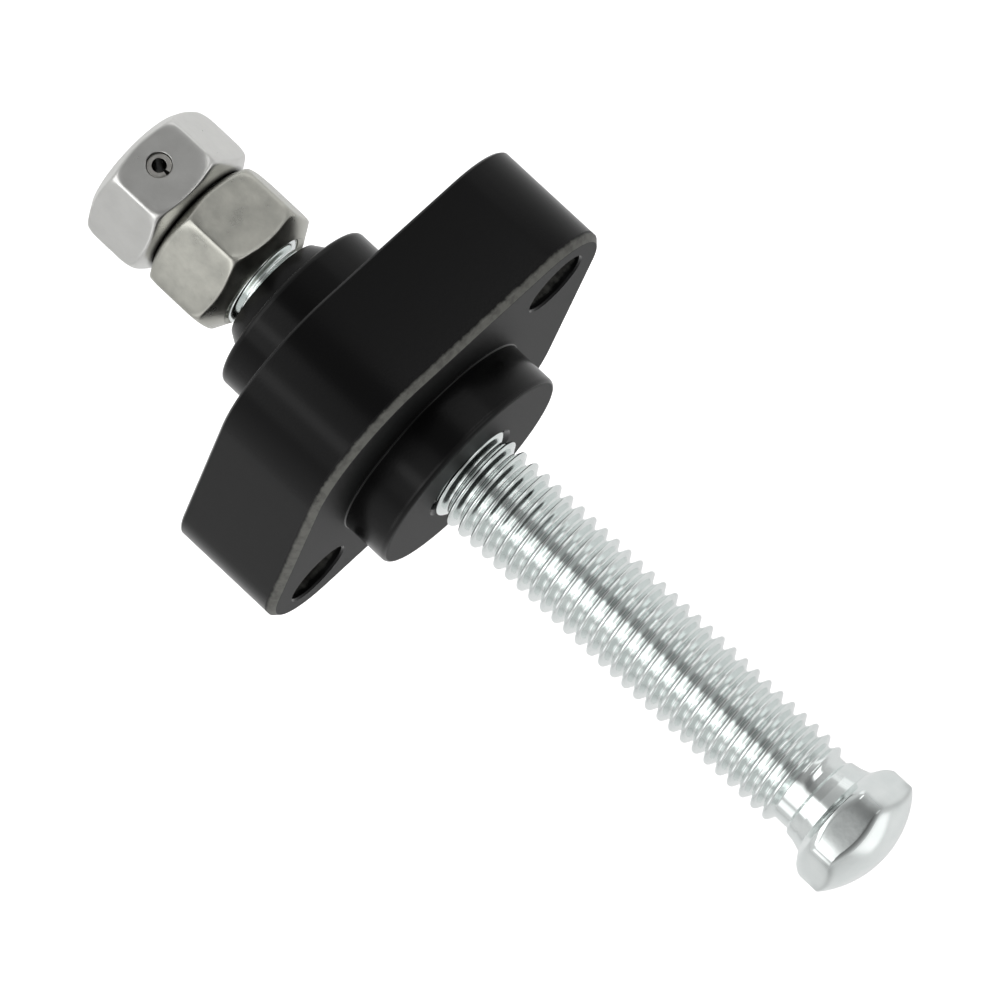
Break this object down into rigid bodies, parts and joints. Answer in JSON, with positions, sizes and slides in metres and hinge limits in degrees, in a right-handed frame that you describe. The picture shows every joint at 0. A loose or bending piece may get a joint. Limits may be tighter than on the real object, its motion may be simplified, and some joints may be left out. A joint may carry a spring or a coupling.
{
  "type": "motorcycle cam chain adjuster",
  "caption": "Manual cam chain adjuster: a black flanged housing with a zinc plated headed screw, a lock nut and a pinned drive nut.",
  "frame": {"origin": "centre of the spigot on the plane of the mounting face", "axes": "+X along the screw out of the mounting face towards the domed head, Y along the line of the two mounting holes, Z across it"},
  "size_m": [0.0968, 0.0482, 0.042],
  "materials": {
    "black_anodised": "satin black anodised",
    "bright_zinc": "bright zinc plated",
    "lock_nut_steel": "satin plated, glossy turned chamfers",
    "drive_nut_steel": "satin plated",
    "pin_steel": "dull spring steel"
  },
  "bodies": {
    "housing": {"housing": "black_anodised"},
    "screw": {"adjuster_bolt": "bright_zinc", "drive_nut": "drive_nut_steel", "roll_pin": "pin_steel"},
    "lock_nut": {"lock_nut": "lock_nut_steel"}
  },
  "joints": [
    {"name": "adjuster_feed", "type": "slide", "parent": "housing", "child": "screw", "axis": [1, 0, 0], "range_m": [-0.0455, 0]},
    {"name": "lock_nut_feed", "type": "slide", "parent": "screw", "child": "lock_nut", "axis": [1, 0, 0], "range_m": [0, 0.0011]}
  ]
}
